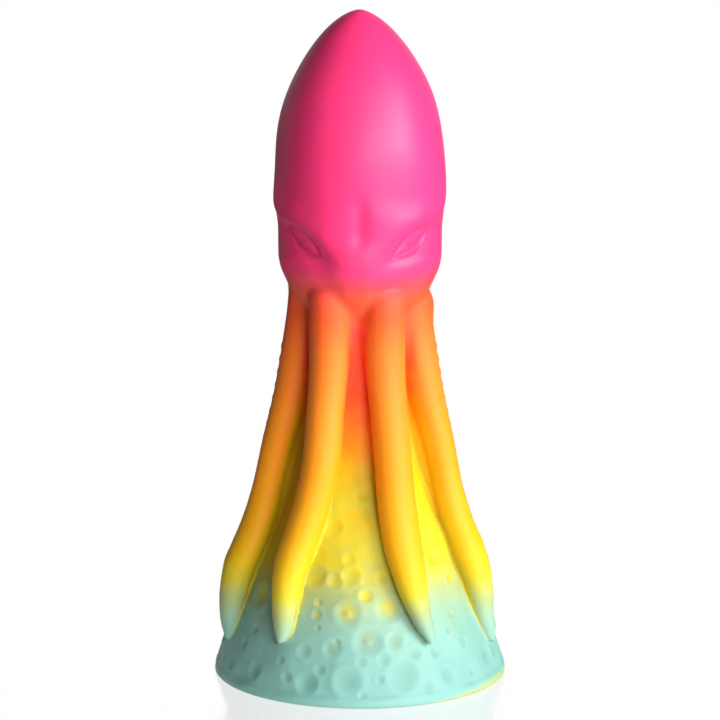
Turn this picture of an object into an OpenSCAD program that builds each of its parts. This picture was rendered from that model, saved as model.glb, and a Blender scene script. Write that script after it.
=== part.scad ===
// Squid-shaped cast silicone figure on a cratered rock foot with a suction base.
// Millimetres. The origin is the middle of the underside, +Z is up and the face looks along -Y.

/* [Suction base] */
// Diameter across the foot, the widest place of all
base_d = 91; // [76:1:110]
// Height of the suction base's outer edge
cup_h = 3.2; // [2.6:0.1:5]
// Width of the flat ring that seals on a table or tile
rim_w = 4; // [2.5:0.5:6]
// Height of the hollow under the middle
dish_h = 1.8; // [1:0.1:2.2]

/* [Rock] */
// Height of the rock's peak above the underside
rock_h = 72; // [60:1:88]
// Diameter of the rock at its peak
peak_d = 36; // [31:0.2:44]
// How far the rock's flank bulges out of a straight cone
rock_bulge = 0.3; // [0:0.1:2]

/* [Trunk and head] */
// Height of the neck, where the arms grow out of the head
neck_z = 118; // [96:1:140]
// Diameter of the trunk under the neck
trunk_d = 30; // [25:0.5:36]
// Diameter of the neck
neck_d = 42.6; // [38:0.2:46]
// Diameter of the head at the eyes
head_d = 50.4; // [46:0.2:58]
// Height of the head, from the neck to the mantle's edge at the back
head_h = 28; // [24:0.5:34]
// Diameter of the mantle at its widest
mantle_d = 52.2; // [44:0.2:62]
// Height of the mantle above the head
mantle_h = 60; // [50:0.5:72]
// How far the mantle's front edge dips between the eyes
brow_dip = 15; // [12:0.5:18]

/* [Eyes] */
// Length of an eye from corner to corner
eye_l = 15; // [12:0.5:18]
// Width of an eye between its lids
eye_w = 4.4; // [3:0.2:6]
// Depth of an eye's socket
socket_depth = 3; // [2:0.2:5]
// Height of the eyes above the neck
eye_up = 20.2; // [16:0.2:22]

/* [Arms] */
// Width of an arm where it has room
arm_w = 12.6; // [10:0.2:15]
// Thickness of an arm at its root, outside the trunk
root_t = 6.8; // [5.5:0.2:8]
// How far an arm leans outwards from its root to its bend
lean = 10.6; // [9:0.2:13]
// How far an arm kicks outwards below its bend
kick = 3; // [1.5:0.1:3.6]
// Height of the bend, where an arm meets the rock's flank
bend_z = 60; // [50:1:68]
// Height of the front arms' tips
front_tip_z = 18.6; // [12:0.2:26]
// Height of the other arms' tips
side_tip_z = 13; // [9:0.2:20]
// Depth by which an arm's back is bonded into the rock
bond = 0.15; // [0.05:0.05:0.3]

/* [Suckers] */
// Distance from one sucker to the next
sucker_pitch = 4.4; // [3.8:0.1:6]
// Diameter of the largest sucker
sucker_d = 4; // [2.6:0.1:4.6]
// How far a sucker stands out of its arm
sucker_h = 0.7; // [0.3:0.1:1.5]

/* [Hidden] */
$fn = 96;

base_r = base_d / 2;
mantle_base_z = neck_z + head_h;
total_h = mantle_base_z + mantle_h;
widest_up = 10;      // the mantle's widest place above its edge
neck_up = 2;         // the neck's narrowest place above the arms' roots
jaw_up = 14;         // where the jaw reaches the head's full width

// An arm is [middle angle at the root, at the tip, share of the neck, tip's height, extra root thickness].
// Angles are round the Z axis from the front (-Y), towards +X, in degrees.
FRONT_LEFT = [-29, -37.5, 47, front_tip_z, 0];
FRONT_RIGHT = [24.5, 28.5, 47, front_tip_z, 0];
SIDE_LEFT = [-82, -77, 43, side_tip_z, 0];
SIDE_RIGHT = [78, 73, 43, side_tip_z, 0];
REAR_LEFT = [-122, -120, 35, side_tip_z, 1];
REAR_RIGHT = [118, 117, 35, side_tip_z, 2.6];
BACK_LEFT = [-162, -161, 39, side_tip_z, 1];
BACK_RIGHT = [158, 158, 39, side_tip_z, 1];

// Suckers: where a row lies round its arm's section, from 0 at one edge to 180 at the other.
OUTWARD = 90;
REAR_FLANK_LEFT = 132;
REAR_FLANK_RIGHT = 48;
row_start = 0.1;     // share of the arm's length
row_end = 0.84;

pink = [0.98, 0.3, 0.56];
orange = [1, 0.58, 0.25];
yellow = [0.96, 0.82, 0.15];
aqua = [0.62, 0.9, 0.83];

// ---- shape functions

function clamp01(x) = min(1, max(0, x));
function smooth(x) = let (t = clamp01(x)) t * t * (3 - 2 * t);
function mix(a, b, t) = a + (b - a) * t;

// Radius of the rock at height z: a cone with a slight bulge.
function rock_r(z) =
    let (t = (z - cup_h) / (rock_h - cup_h))
    mix(base_r, peak_d / 2, t) + rock_bulge * sin(180 * t);

// Radius of the trunk at height z: it flares into the rock's peak.
function trunk_r(z) =
    let (t = (z - rock_h) / (neck_z - rock_h))
    mix(trunk_d / 2, peak_d / 2, pow(1 - t, 2));

function body_r(z) = z < rock_h ? rock_r(z) : trunk_r(z);

// Radius of the head and mantle at height z.
function hood_r(z) =
    let (up = z - neck_z, wide_z = mantle_base_z + widest_up)
    up < jaw_up
        ? mix(neck_d / 2, head_d / 2, sin(90 * clamp01((up - neck_up) / (jaw_up - neck_up))))
        : z < wide_z
            ? mix(head_d / 2, mantle_d / 2, smooth((z - neck_z - jaw_up) / (wide_z - neck_z - jaw_up)))
            : mantle_d / 2 * pow(max(0, 1 - pow((z - wide_z) / (total_h - wide_z), 2.2)), 0.65);

// Levels at which a round body and the arms on it share their corners.
function levels(from, to, n) = [for (i = [0 : n]) mix(from, to, i / n)];
// The mantle's levels crowd towards the tip, which is round.
function tip_levels(from, to, n) = [for (i = [0 : n]) mix(from, to, sin(90 * i / n))];

// Share of the way down an arm at height z.
function along(arm, z) = (neck_z - z) / (neck_z - arm[3]);
function arm_angle(arm, z) = mix(arm[0], arm[1], smooth((along(arm, z) - 0.45) / 0.45));
// Half an arm's width: its share of the neck at the top, its full width below, and round at the tip.
function arm_half(arm, z) =
    min(arm_w / 2, body_r(z) * sin(arm[2] / 2)) * pow(max(0, 1 - pow(along(arm, z), 5)), 0.6);
// Radius of an arm's outer side: it leans out in a slight curve, and kicks out more below the bend.
function outer_r(arm, z) =
    let (down = (neck_z - z) / (neck_z - bend_z), root_fade = 1 - smooth(along(arm, z) / 0.5))
    trunk_d / 2 + root_t + arm[4] * root_fade + lean * pow(down, 1.15) + kick * smooth((down - 1) / 0.4);
// How far an arm stands out of the rock or trunk. It is round at the tip.
function arm_out(arm, z) =
    (outer_r(arm, z) - body_r(z)) * pow(max(0, 1 - pow(along(arm, z), 12)), 0.6);

// A point in the plane of the section at height z: across the arm, and out from the axis.
function placed(arm, z, across, out) =
    let (a = arm_angle(arm, z))
    [out * sin(a) + across * cos(a), -out * cos(a) + across * sin(a), z];
function on_body(z, across) = sqrt(pow(body_r(z), 2) - pow(across, 2));
// A point on an arm's outer side: turn goes from 0 at its +X edge to 180 at its other edge.
function arm_point(arm, z, turn) =
    let (across = arm_half(arm, z) * cos(turn))
    placed(arm, z, across, on_body(z, across) + arm_out(arm, z) * sin(turn));
function arm_back(arm, z, share) =
    let (across = -arm_half(arm, z) * share)
    placed(arm, z, across, on_body(z, across) - bond);

// ---- round bodies

module suction_base() {
    edge = cup_h / 3;
    color(aqua)
        rotate_extrude()
            polygon(concat(
                [[0, cup_h], [base_r, cup_h]],
                [for (a = [0 : -30 : -90]) [base_r - edge + edge * cos(a), edge + edge * sin(a)]],
                [for (t = [0 : 0.125 : 1])
                    [(base_r - edge - rim_w) * (1 - t), dish_h * smooth(t)]]));
}

module rock() {
    rock_levels = levels(cup_h, rock_h, 24);
    color(aqua)
        difference() {
            rotate_extrude()
                polygon(concat([[0, cup_h]], [for (z = rock_levels) [rock_r(z), z]], [[0, rock_h]]));
            for (c = craters) {
                crater(c[0], c[1], c[2]);
            }
        }
}

// Craters between the arms: [angle, height, radius].
craters = [
    [-6, 27, 3.6], [3, 32, 2], [-21, 27, 1.7], [-5, 38, 2.4], [13, 28, 3.2],
    [3, 19, 3.9], [14, 19, 2.2], [17, 12.5, 2], [-5, 8.5, 3.9], [-25, 15, 2.1],
    [-12, 16.5, 2.6], [-20, 6.5, 3], [-48, 9, 2.6], [24, 8, 3.6], [51, 34, 2.4],
    [52, 24, 1.6], [-58, 28, 2.8], [-56, 16, 2], [38, 12, 1.8], [58, 10, 2.4],
    [-84, 6.8, 2.2], [92, 7.2, 2.4], [95, 27, 2.8], [95, 16, 2], [-99, 30, 2.4],
    [-99, 19, 2.8], [-112, 7, 2], [122, 7, 2.6], [138, 26, 3], [138, 13, 2.2],
    [-141, 22, 3.2], [-141, 11, 2], [-130, 6.8, 2.2], [160, 7, 2.6], [178, 27, 3.2],
    [179, 15, 2.4], [-170, 7.5, 1.8]
];

// A crater is a shallow ball cut: its depth is a quarter of its radius.
module crater(angle, z, r) {
    depth = r / 4;
    ball_r = (r * r + depth * depth) / (2 * depth);
    slope = atan((rock_r(z - 1) - rock_r(z + 1)) / 2);
    rotate([0, 0, angle])
        translate([0, -rock_r(z), z])
            rotate([90 - slope, 0, 0])
                translate([0, 0, ball_r - depth])
                    sphere(r = ball_r);
}

module trunk() {
    trunk_levels = levels(rock_h, neck_z, 14);
    color(orange)
        rotate_extrude()
            polygon(concat([[0, rock_h]], [for (z = trunk_levels) [trunk_r(z), z]], [[0, neck_z]]));
}

module hood() {
    wide_z = mantle_base_z + widest_up;
    hood_levels = concat(levels(neck_z, wide_z, 18), [for (i = [1 : 17]) tip_levels(wide_z, total_h, 18)[i]]);
    rotate_extrude()
        polygon(concat([[0, neck_z]], [for (z = hood_levels) [hood_r(z), z]], [[0, total_h]]));
}

// Everything on one side of the mantle's edge: top is its far end, above or below the edge.
// In front, the edge dips between the eyes.
module brow_block(top) {
    side = mantle_d;
    edge = [[-side / 2, 0], [-side / 4, -brow_dip / 4], [-side / 12, -brow_dip],
        [side / 12, -brow_dip], [side / 4, -brow_dip / 4], [side / 2, 0]];
    translate([-side / 2, 0, mantle_base_z + min(0, top)])
        cube([side, side / 2, abs(top)]);
    translate([0, 0, mantle_base_z])
        rotate([90, 0, 0])
            linear_extrude(side / 2)
                polygon(concat(edge, [[side / 2, top], [-side / 2, top]]));
}

module mantle() {
    color(pink)
        intersection() {
            hood();
            brow_block(mantle_h + 1);
        }
}

// ---- eyes

// An eye's outline between its lids: two arcs that meet in a corner at each end.
module almond() {
    lid_r = (pow(eye_l / 2, 2) + pow(eye_w / 2, 2)) / eye_w;
    intersection() {
        translate([0, lid_r - eye_w / 2]) circle(r = lid_r);
        translate([0, eye_w / 2 - lid_r]) circle(r = lid_r);
    }
}

eye_angle = 45;      // round the head from the front
eye_slant = 34;      // how far an eye's outer corner is turned up
eye_z = neck_z + eye_up;

// The socket's prism, from its floor out through the head's skin. side is -1 left and 1 right.
module socket(side) {
    rotate([0, 0, side * eye_angle])
        translate([0, -(hood_r(eye_z) - socket_depth), eye_z])
            rotate([90, 0, 0])
                rotate([0, 0, side * eye_slant])
                    linear_extrude(socket_depth * 2)
                        almond();
}

module eye(side) {
    ball_r = eye_l * 0.75;
    color(pink)
        intersection() {
            socket(side);
            rotate([0, 0, side * eye_angle])
                translate([0, -(hood_r(eye_z) - ball_r + 0.3), eye_z])
                    sphere(r = ball_r);
        }
}

module head() {
    color(pink)
        difference() {
            intersection() {
                hood();
                brow_block(-head_h - 1);
            }
            socket(-1);
            socket(1);
        }
}

// ---- arms

arm_rings = 26;
outer_steps = 10;
inner_steps = 4;

// One closed ring of points: over the arm's outer side, and back along the rock.
function arm_ring(arm, z) = concat(
    [for (i = [0 : outer_steps]) arm_point(arm, z, 180 * i / outer_steps)],
    [for (i = [0 : inner_steps]) arm_back(arm, z, 1 - 2 * i / inner_steps)]);

// Rings are closer together near the tip, and the last one stops just short of it.
function arm_levels(arm) =
    [for (i = [0 : arm_rings]) mix(neck_z, arm[3], sin(90 * i / (arm_rings + 1)))];

module arm(spec, tint) {
    rings = [for (z = arm_levels(spec)) arm_ring(spec, z)];
    n = len(rings[0]);
    last = len(rings) - 1;
    points = [for (ring = rings) each ring];
    sides = [for (j = [0 : last - 1], i = [0 : n - 1])
        let (a = j * n + i, b = j * n + (i + 1) % n)
        each [[a, b, b + n], [a, b + n, a + n]]];
    root = [[for (i = [n - 1 : -1 : 0]) i]];
    tip = [[for (i = [0 : n - 1]) last * n + i]];
    color(tint)
        polyhedron(points = points, faces = concat(sides, root, tip));
}

// ---- suckers

// Where sucker i of a row sits, and the way it faces.
function row_z(spec, share) = mix(neck_z, spec[3], share);
function facing(spec, z, turn) =
    let (down = arm_point(spec, z - 0.5, turn) - arm_point(spec, z + 0.5, turn),
        round = arm_point(spec, z, turn - 2) - arm_point(spec, z, turn + 2),
        n = cross(down, round))
    n / norm(n);

module sucker(r) {
    depth = sucker_h * 1.5;
    difference() {
        translate([0, 0, -depth])
            cylinder(r1 = r, r2 = r * 0.85, h = depth + sucker_h);
        translate([0, 0, sucker_h + r * 0.5])
            sphere(r = r * 0.75);
    }
}

module sucker_row(spec, turn, tint) {
    length = (neck_z - spec[3]) * (row_end - row_start);
    count = floor(length / sucker_pitch);
    color(tint)
        for (i = [0 : count - 1]) {
            share = row_start + (row_end - row_start) * i / count;
            z = row_z(spec, share);
            n = facing(spec, z, turn);
            translate(arm_point(spec, z, turn))
                rotate([0, acos(n[2]), atan2(n[1], n[0])])
                    sucker(sucker_d / 2 * mix(1, 0.6, share) * arm_half(spec, z) / (arm_w / 2));
        }
}

suction_base();
rock();
trunk();
head();
mantle();
eye(-1);  // eye_left
eye(1);  // eye_right
arm(FRONT_LEFT, orange);  // arm_front_left
arm(FRONT_RIGHT, orange);  // arm_front_right
arm(SIDE_LEFT, yellow);  // arm_side_left
arm(SIDE_RIGHT, yellow);  // arm_side_right
arm(REAR_LEFT, orange);  // arm_rear_left
arm(REAR_RIGHT, orange);  // arm_rear_right
arm(BACK_LEFT, orange);  // arm_back_left
arm(BACK_RIGHT, orange);  // arm_back_right
sucker_row(SIDE_LEFT, REAR_FLANK_LEFT, yellow);  // suckers_side_left
sucker_row(SIDE_RIGHT, REAR_FLANK_RIGHT, yellow);  // suckers_side_right
sucker_row(REAR_LEFT, OUTWARD, orange);  // suckers_rear_left
sucker_row(REAR_RIGHT, OUTWARD, orange);  // suckers_rear_right
sucker_row(BACK_LEFT, OUTWARD, orange);  // suckers_back_left
sucker_row(BACK_RIGHT, OUTWARD, orange);  // suckers_back_right
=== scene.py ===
"""Looks of a squid-shaped figure cast in several colours of silicone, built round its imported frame.

The casting is one smooth body, so its skin is made once, from signed distances to each sculpted
feature, and is then parted between the features along the lines where they meet. Lengths inside
the modelling code are in millimetres and become metres when a mesh is made.
"""

from __future__ import annotations

import logging
import math
from dataclasses import dataclass, field
from enum import Enum
from functools import cached_property

import bpy
import numpy as np
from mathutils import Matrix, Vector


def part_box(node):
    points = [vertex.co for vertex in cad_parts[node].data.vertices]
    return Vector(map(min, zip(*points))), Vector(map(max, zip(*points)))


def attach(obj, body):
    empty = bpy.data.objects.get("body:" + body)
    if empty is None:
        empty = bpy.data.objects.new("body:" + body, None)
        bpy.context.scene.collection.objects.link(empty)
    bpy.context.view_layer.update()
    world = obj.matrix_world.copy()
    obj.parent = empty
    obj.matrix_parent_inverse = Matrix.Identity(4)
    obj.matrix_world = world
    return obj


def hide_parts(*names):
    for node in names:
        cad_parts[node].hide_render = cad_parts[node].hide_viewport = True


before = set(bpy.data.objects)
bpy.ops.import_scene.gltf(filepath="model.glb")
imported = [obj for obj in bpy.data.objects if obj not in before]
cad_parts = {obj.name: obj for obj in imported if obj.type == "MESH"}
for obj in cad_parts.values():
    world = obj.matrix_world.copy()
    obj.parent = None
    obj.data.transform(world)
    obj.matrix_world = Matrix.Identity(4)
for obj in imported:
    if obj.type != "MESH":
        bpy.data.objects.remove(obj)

import openvdb
from mathutils import Vector

logging.basicConfig(level=logging.INFO, format="%(relativeCreated)7d ms %(name)s: %(message)s")
LOG = logging.getLogger("squid")

MM = 0.001
Array = np.ndarray
Line = tuple[tuple[float, float], ...]
WHITE = (1.0, 1.0, 1.0, 1.0)


# ---------------------------------------------------------------- small mathematics


def smooth(t: Array) -> Array:
    """Eased step from 0 at t = 0 to 1 at t = 1."""
    t = np.clip(t, 0.0, 1.0)
    return t * t * (3.0 - 2.0 * t)


def step(at: Array, start: float | Array, end: float) -> Array:
    """Eased step from 0 where a value is start to 1 where it is end; either may be the higher."""
    return smooth((at - start) / (end - start))


def bell(distance: Array, width: float | Array) -> Array:
    """Soft bump: 1 at distance 0, and about a third at the width."""
    return np.exp(-((distance / width) ** 2))


def blend_union(a: Array, b: Array, radius: float | Array) -> Array:
    """Joins two signed distances with a fillet.

    Args:
        a: First distance.
        b: Second distance.
        radius: Reach of the fillet.

    Returns:
        The joined distance, negative inside either body.
    """
    share = np.maximum(radius - np.abs(a - b), 0.0) / radius
    return np.minimum(a, b) - share * share * radius * 0.25


def blend_cut(a: Array, b: Array, radius: float) -> Array:
    """Keeps what is inside both a and b, with the edge between them rounded."""
    return -blend_union(-a, -b, radius)


def polyline_distance(u: Array, v: Array, corners: Line) -> Array:
    """Distance from points in a plane to an open chain of straight lines.

    Args:
        u: First coordinate of the points.
        v: Second coordinate of the points.
        corners: The chain's corners.

    Returns:
        Distance to the nearest of the chain's lines.
    """
    best = np.full(np.shape(u), np.inf)
    for (u0, v0), (u1, v1) in zip(corners, corners[1:]):
        du, dv = u1 - u0, v1 - v0
        t = np.clip(((u - u0) * du + (v - v0) * dv) / (du * du + dv * dv), 0.0, 1.0)
        best = np.minimum(best, np.hypot(u - u0 - t * du, v - v0 - t * dv))
    return best


@dataclass(frozen=True)
class Curve:
    """A smooth line through a few keys that never overshoots them, level beyond its ends."""

    keys: Line
    fineness: int = 1500

    @cached_property
    def table(self) -> tuple[Array, Array, Array]:
        """Tabulates the line.

        Returns:
            Places, values and slopes, close enough together for straight lines between them.
        """
        x, y = np.array(self.keys, float).T
        gap = np.diff(x)
        rise = np.diff(y) / gap
        slope = np.zeros_like(x)
        before, after = 2.0 * gap[1:] + gap[:-1], gap[1:] + 2.0 * gap[:-1]
        for i in range(1, len(x) - 1):
            if rise[i - 1] * rise[i] > 0.0:
                total = before[i - 1] + after[i - 1]
                slope[i] = total / (before[i - 1] / rise[i - 1] + after[i - 1] / rise[i])
        slope[0], slope[-1] = rise[0], rise[-1]
        at = np.linspace(x[0], x[-1], self.fineness)
        i = np.clip(np.searchsorted(x, at, side="right") - 1, 0, len(x) - 2)
        gap, rise = (x[1:] - x[:-1])[i], (y[1:] - y[:-1])[i]
        t = (at - x[i]) / gap
        a, b = slope[i] * gap, slope[i + 1] * gap
        c2, c3 = 3.0 * rise - 2.0 * a - b, a + b - 2.0 * rise
        value = y[i] + t * (a + t * (c2 + t * c3))
        return at, value, (a + t * (2.0 * c2 + 3.0 * t * c3)) / gap

    def both(self, at: Array) -> tuple[Array, Array]:
        """The line's value and slope.

        Args:
            at: Places along the line.

        Returns:
            Values and slopes there.
        """
        place, value, slope = self.table
        return np.interp(at, place, value), np.interp(at, place, slope, left=0.0, right=0.0)

    def __call__(self, at: Array) -> Array:
        """The line's value."""
        return np.interp(at, *self.table[:2])


def waves(xyz: Array, length: float, seed: int, count: int = 9) -> Array:
    """Soft unevenness, made of a few plane waves with seeded directions.

    Args:
        xyz: Points in millimetres.
        length: Wave length in millimetres.
        seed: Seed of the directions.
        count: How many waves are summed.

    Returns:
        Values that stay mostly between -1 and 1.
    """
    draw = np.random.default_rng(seed)
    total = np.zeros(len(xyz))
    for _ in range(count):
        way = draw.normal(size=3)
        way *= 2.0 * math.pi / (length * np.linalg.norm(way) * draw.uniform(0.7, 1.5))
        total += np.sin(xyz @ way + draw.uniform(0.0, 2.0 * math.pi))
    return total / math.sqrt(count)


class Points:
    """Sample points in millimetres, with their places round the figure's axis."""

    def __init__(self, xyz: Array) -> None:
        """Works out radius and turn once for all features.

        Args:
            xyz: Points in millimetres.
        """
        self.xyz = xyz
        self.z = xyz[:, 2]
        self.rho = np.hypot(xyz[:, 0], xyz[:, 1])
        self.turn = np.arctan2(xyz[:, 0], -xyz[:, 1])


# ---------------------------------------------------------------- sizes from the frame


@dataclass(frozen=True)
class Frame:
    """The CAD sizes that the modelling hangs on, in millimetres."""

    base_r: float
    cup_h: float
    peak_z: float
    neck_z: float
    edge_z: float
    top_z: float

    @classmethod
    def read(cls) -> "Frame":
        """Measures the CAD nodes' boxes.

        Returns:
            The sizes.
        """
        low = {n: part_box(n)[0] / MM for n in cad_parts}
        high = {n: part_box(n)[1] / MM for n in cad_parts}
        return cls(
            base_r=high["suction_base"].x,
            cup_h=high["suction_base"].z,
            peak_z=high["rock"].z,
            neck_z=low["head"].z,
            edge_z=high["head"].z,
            top_z=high["mantle"].z,
        )


# ---------------------------------------------------------------- head and mantle


@dataclass(frozen=True)
class Eye:
    """An almond-shaped eye on the head's skin, drawn on the unrolled skin of the right side."""

    across: float = 18.8
    up: float = 20.4
    half_length: float = 8.3
    half_width: float = 2.9
    slant: float = math.radians(30.0)
    bulge: float = 0.85
    crease_depth: float = 0.2
    lower_lid: float = 0.24
    upper_lid: float = 0.06
    reach: float = 12.0

    def outline(self, u: Array, up: Array) -> tuple[Array, Array]:
        """Where points lie against the lids.

        Args:
            u: Distance round the skin from the middle of the face.
            up: Height above the neck.

        Returns:
            Signed distance to the lids, negative on the eye, and the offset above its long axis.
        """
        du, dv = u - self.across, up - self.up
        along = du * math.cos(self.slant) + dv * math.sin(self.slant)
        off = dv * math.cos(self.slant) - du * math.sin(self.slant)
        return np.abs(off) - self.half_width * (1.0 - (along / self.half_length) ** 2), off

    def relief(self, u: Array, up: Array) -> Array:
        """Height of the eyeball, its crease and its lids above the skin.

        Args:
            u: Distance round the skin from the middle of the face.
            up: Height above the neck.

        Returns:
            The height.
        """
        edge, off = self.outline(u, up)
        near = bell(np.hypot(u - self.across, up - self.up), self.reach)
        ball = self.bulge * smooth(-edge / self.half_width * 1.2)
        crease = -self.crease_depth * bell(edge, 0.7)
        lower_lid = self.lower_lid * bell(edge - 0.9, 0.7) * step(off, 0.5, -0.5)
        upper_lid = self.upper_lid * bell(edge - 1.0, 0.8) * step(off, -0.5, 0.5)
        return near * (ball + crease + lower_lid + upper_lid)


@dataclass(frozen=True)
class Dent:
    """A soft lump, or a hollow where its height is negative, on the unrolled skin of the head."""

    height: float
    side: float
    side_reach: float
    up: float
    up_reach: float

    def relief(self, side: Array, up: Array) -> Array:
        """Its height at points of the skin."""
        return self.height * bell(side - self.side, self.side_reach) * bell(up - self.up, self.up_reach)


@dataclass
class Hood:
    """The head and the mantle above it: one round body with a sculpted face."""

    size: Frame
    eye: Eye = field(default_factory=Eye)
    wide_r: float = 26.1
    wide_up: float = 38.0
    skin_r: float = 25.0
    looks_left: float = 1.2
    flank: Curve = Curve(((-9.0, 10.0), (-5.0, 14.5), (-1.0, 18.4), (2.8, 21.2), (6.5, 23.0), (10.3, 24.5),
                          (14.0, 25.05), (21.4, 25.1), (29.0, 25.8), (38.0, 26.1)))
    # Lines of the face on the unrolled skin: distance from the middle, height above the neck.
    brow: Line = ((40.0, 37.0), (34.0, 31.5), (28.0, 28.2), (21.0, 26.6), (14.8, 24.4), (10.6, 20.8),
                  (7.4, 16.0), (4.8, 10.5), (2.6, 4.5), (0.4, -1.5))
    cheek: Line = ((3.6, 5.8), (7.5, 10.8), (13.0, 14.0), (21.0, 15.2), (30.0, 13.0))
    # Line between the mantle and the head, in the same way: the middle of the face stays with the head.
    border: Line = ((0.0, 13.5), (5.0, 13.5), (10.6, 20.8), (14.8, 24.4), (21.0, 26.6), (28.0, 28.2),
                    (34.0, 31.5), (52.0, 28.0))
    dents: tuple[Dent, ...] = (Dent(-0.4, 9.6, 4.0, 13.0, 5.5), Dent(0.5, 7.5, 5.5, 27.5, 7.0))
    socket_middle: tuple[float, float] = (18.0, 19.2)
    socket_axis: tuple[float, float] = (0.87, 0.49)
    socket_depth: float = 2.2
    brow_height: float = 1.1
    bottom_up: float = -9.0
    dome_round: float = 0.65
    dome_taper: float = 2.2

    def distance(self, at: Points) -> Array:
        """Distance to the round body without its face.

        Args:
            at: The points.

        Returns:
            Distances, negative inside.
        """
        up = at.z - self.size.neck_z
        radius, slope = self.flank.both(up)
        flank = (at.rho - radius) / np.sqrt(1.0 + slope * slope)
        flank = blend_cut(flank, self.bottom_up - up, 2.0)
        height = self.size.top_z - self.size.neck_z - self.wide_up
        t = np.clip((up - self.wide_up) / height, 0.0, None)
        ring = np.maximum(at.rho / self.wide_r, 1e-6)
        power, taper = 1.0 / self.dome_round, self.dome_taper
        level = ring**power + t**taper - 1.0
        steep = np.hypot(power / self.wide_r * ring ** (power - 1.0), taper / height * t ** (taper - 1.0))
        dome = level / np.maximum(steep, 0.012)
        return np.where(up < self.wide_up, flank, dome)

    def skin(self, at: Points) -> tuple[Array, Array]:
        """Unrolls the skin.

        Args:
            at: The points.

        Returns:
            Distance round the skin from the middle of the face, and height above the neck.
        """
        return at.turn * self.skin_r + self.looks_left, at.z - self.size.neck_z

    def relief(self, at: Points) -> Array:
        """Height of the face above the round body.

        Args:
            at: The points.

        Returns:
            The height.
        """
        u, up = self.skin(at)
        side = np.sqrt(u * u + 0.8) - 0.3
        front = step(side, 39.0, 30.0)
        rim = polyline_distance(side, up, self.brow)
        above = up > np.interp(side, *np.array(self.brow[::-1]).T)
        brow = self.brow_height * bell(rim, np.where(above, 5.2, 3.8))
        brow *= (1.0 - 0.82 * step(up, 17.0, 6.0)) * (1.0 + 0.3 * step(side, 13.0, 21.0))
        dx, dy = side - self.socket_middle[0], up - self.socket_middle[1]
        c, s = self.socket_axis
        socket = -self.socket_depth * bell(dx * c + dy * s, 11.5) * bell(dy * c - dx * s, 4.6)
        nose = (0.25 + 0.65 * step(up, 4.0, 13.0)) * bell(u, 6.0) * step(up, 27.0, 16.0)
        groove = -0.6 * bell(u - self.looks_left, 2.4) * step(up, 17.0, 23.0) * step(up, 37.0, 29.0)
        cheek = (0.2 + 0.4 * step(side, 4.0, 11.0)) * bell(polyline_distance(side, up, self.cheek), 3.0)
        throat = -0.3 * bell(up - 6.6, 2.6) * step(side, 2.6, 6.6) * step(side, 27.0, 17.0)
        folds = brow + socket + nose + groove + cheek + throat + self.eye.relief(side, up)
        folds += sum(dent.relief(side, up) for dent in self.dents)
        return front * folds + 0.3 * waves(at.xyz, 34.0, 5, 6) * step(up, 24.0, 34.0)

    def brow_edge(self, at: Points) -> Array:
        """Signed height below the line between mantle and head, positive on the head."""
        line = np.interp(np.abs(self.skin(at)[0]), *np.array(self.border).T)
        return self.size.neck_z + line - at.z


# ---------------------------------------------------------------- rock and trunk


@dataclass(frozen=True)
class Crater:
    """One soft-rimmed pit in the rock."""

    angle: float
    z: float
    radius: float
    depth: float = 0.3
    peak: float = 0.0

    def relief(self, reach: Array) -> Array:
        """Height of the pit and its rim.

        Args:
            reach: Distance from the pit's middle, in millimetres.

        Returns:
            Height above the rock.
        """
        t = reach / self.radius
        bowl = -0.62 * self.depth * step(t, 1.3, 0.1)
        return self.radius * (bowl + 0.035 * bell(t - 1.3, 0.35) + self.peak * bell(t, 0.34))


# Angle from the front in degrees, height, radius, and where they differ depth and middle peak.
FRONT_CRATERS = tuple(Crater(*row) for row in (
    (-17, 10.8, 1.7), (-6, 27, 3.5, 0.22, 0.1), (3, 32, 2.0, 0.34), (-21.5, 26, 1.6), (-21.6, 29.6, 1.2),
    (-20, 22.5, 1.1), (-6.6, 42, 1.8, 0.2), (-5.4, 37.5, 2.5, 0.2), (-19, 51, 2.6, 0.22),
    (14.5, 28, 3.6, 0.22), (3.5, 19, 3.9, 0.22, 0.08), (15.5, 19, 2.4, 0.24), (24, 15, 2.0),
    (-5, 8, 3.9, 0.2), (-25, 15.5, 2.1, 0.3), (-12, 17, 2.7, 0.24, 0.07), (-10.4, 19.0, 1.2, 0.34),
    (-55, 18.6, 1.6, 0.34), (-65, 6.8, 2.2), (-48, 7.4, 2.6), (-22, 6.5, 3.1, 0.26), (-35, 12, 1.3),
    (18, 9, 4.3, 0.18), (8, 8.4, 1.4), (57, 33.6, 1.6, 0.3), (50, 41, 2.8, 0.24), (49, 24, 1.4),
    (63, 24, 1.2), (51, 15.5, 1.8, 0.2), (3, 61, 2.3, 0.2), (-26, 37, 3.2, 0.24), (-60, 28, 3.7, 0.26),
    (52, 6.3, 1.4), (34, 14.7, 1.7), (-60, 13.6, 1.9), (38, 7.5, 2.6, 0.2), (66, 9, 2.8, 0.2),
    (-14, 36, 2.1, 0.18), (12, 37, 1.9, 0.18), (-47, 30, 2.0, 0.2), (0.5, 13.5, 1.5, 0.22),
    (10, 14.0, 1.9, 0.18), (27, 22, 1.2), (44, 19.6, 1.1), (-40, 17.5, 1.4, 0.25), (-31, 7.5, 1.6, 0.28),
    (1, 4.0, 1.3, 0.2), (28, 4.6, 1.8, 0.18),
))


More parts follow.
